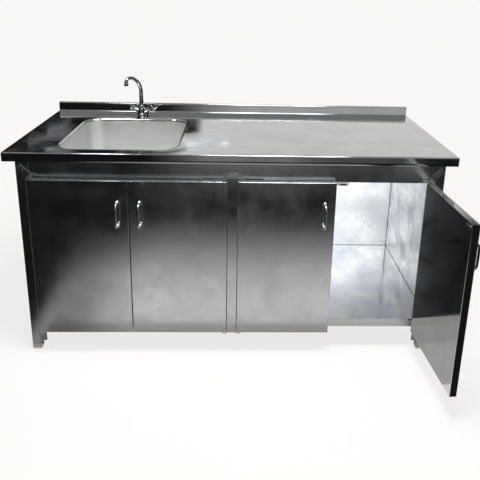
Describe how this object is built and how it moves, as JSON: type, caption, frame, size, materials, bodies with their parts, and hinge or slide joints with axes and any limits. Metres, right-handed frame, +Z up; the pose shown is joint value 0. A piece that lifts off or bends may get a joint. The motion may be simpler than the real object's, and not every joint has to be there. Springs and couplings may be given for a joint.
{
  "type": "kitchen sink unit",
  "caption": "Stainless-steel sink cabinet: folded worktop with upstand, pressed bowl on the left, swivel mixer tap, pivot-hung doors with bow handles and a bottom shelf.",
  "frame": {"origin": "middle of the footprint with the right-hand door standing open, at floor level", "axes": "+Z up, +X towards the right end seen from the front (the bowl is at -X), +Y away from the user towards the upstand"},
  "size_m": [1.8, 1.1355, 1.1043],
  "materials": {
    "worktop_steel": "satin sheet",
    "bowl_steel": "satin pressed sheet",
    "frame_steel": "satin folded sheet",
    "door_steel": "polished sheet",
    "liner_steel": "satin sheet",
    "bracket_steel": "bright plated steel",
    "washer_nylon": "moulded",
    "catch_plastic": "moulded",
    "catch_magnet": "sintered magnet, matt",
    "handle_chrome": "polished",
    "tap_chrome": "polished",
    "tap_brass": "turned",
    "waste_chrome": "polished",
    "waste_plastic": "moulded",
    "seal_rubber": "matt"
  },
  "bodies": {
    "unit": {"worktop": "worktop_steel", "sink_bowl": "bowl_steel", "worktop_stiffeners": "frame_steel", "front_left_post": "frame_steel", "front_right_post": "frame_steel", "rear_left_post": "frame_steel", "rear_right_post": "frame_steel", "front_rail": "frame_steel", "rear_rail": "frame_steel", "side_rails": "frame_steel", "left_side_panel": "frame_steel", "right_side_panel": "frame_steel", "back_panel": "frame_steel", "bottom_shelf": "frame_steel", "shelf_stiffener": "frame_steel", "centre_post": "door_steel", "centre_pivot_plates": "bracket_steel", "post_pivot_brackets": "bracket_steel", "pivot_pins": "bracket_steel", "pivot_washers": "washer_nylon", "fixing_screws": "bracket_steel", "frame_bolts": "bracket_steel", "catch_bodies": "catch_plastic", "catch_magnets": "catch_magnet", "waste_body": "waste_chrome", "waste_gasket": "seal_rubber", "waste_nut": "waste_plastic", "waste_tail": "waste_plastic", "tap_seal": "seal_rubber", "tap_body": "tap_chrome", "tap_nut": "tap_brass", "tap_inlets": "tap_brass"},
    "door_1": {"door_1_skin": "door_steel", "door_1_liner": "liner_steel", "door_1_pivot_blocks": "bracket_steel", "door_1_handle": "handle_chrome", "door_1_strike": "bracket_steel"},
    "door_2": {"door_2_skin": "door_steel", "door_2_liner": "liner_steel", "door_2_pivot_blocks": "bracket_steel", "door_2_handle": "handle_chrome", "door_2_strike": "bracket_steel"},
    "door_3": {"door_3_skin": "door_steel", "door_3_liner": "liner_steel", "door_3_pivot_blocks": "bracket_steel", "door_3_handle": "handle_chrome", "door_3_strike": "bracket_steel"},
    "door_4": {"door_4_skin": "door_steel", "door_4_liner": "liner_steel", "door_4_pivot_blocks": "bracket_steel", "door_4_handle": "handle_chrome", "door_4_strike": "bracket_steel"},
    "spout": {"spout": "tap_chrome", "aerator": "tap_chrome"},
    "hot_handle": {"hot_grip": "tap_chrome"},
    "cold_handle": {"cold_grip": "tap_chrome"},
    "strainer": {"strainer_basket": "waste_chrome", "basket_knob": "waste_chrome"}
  },
  "joints": [
    {"name": "door_1_hinge", "type": "hinge", "parent": "unit", "child": "door_1", "pos_m": [-0.804, -0.18166, 0.4465], "axis": [0, 0, -1], "range_deg": [0, 110]},
    {"name": "door_2_hinge", "type": "hinge", "parent": "unit", "child": "door_2", "pos_m": [-0.03, -0.18166, 0.4465], "axis": [0, 0, 1], "range_deg": [0, 85]},
    {"name": "door_3_hinge", "type": "hinge", "parent": "unit", "child": "door_3", "pos_m": [0.03, -0.18166, 0.4465], "axis": [0, 0, -1], "range_deg": [0, 85]},
    {"name": "door_4_hinge", "type": "hinge", "parent": "unit", "child": "door_4", "pos_m": [0.804, -0.18166, 0.4465], "axis": [0, 0, 1], "range_deg": [-93.5, 16.5]},
    {"name": "spout_swivel", "type": "hinge", "parent": "unit", "child": "spout", "pos_m": [-0.468, 0.47784, 0.94], "axis": [0, 0, 1], "continuous": true},
    {"name": "hot_turn", "type": "hinge", "parent": "unit", "child": "hot_handle", "pos_m": [-0.468, 0.47784, 0.9125], "axis": [-0.8829, 0, 0.4695], "range_deg": [0, 90]},
    {"name": "cold_turn", "type": "hinge", "parent": "unit", "child": "cold_handle", "pos_m": [-0.468, 0.47784, 0.9125], "axis": [0.8829, 0, 0.4695], "range_deg": [0, 90]},
    {"name": "basket_lift", "type": "slide", "parent": "unit", "child": "strainer", "axis": [0, 0, 1], "range_m": [0, 0.06]}
  ]
}
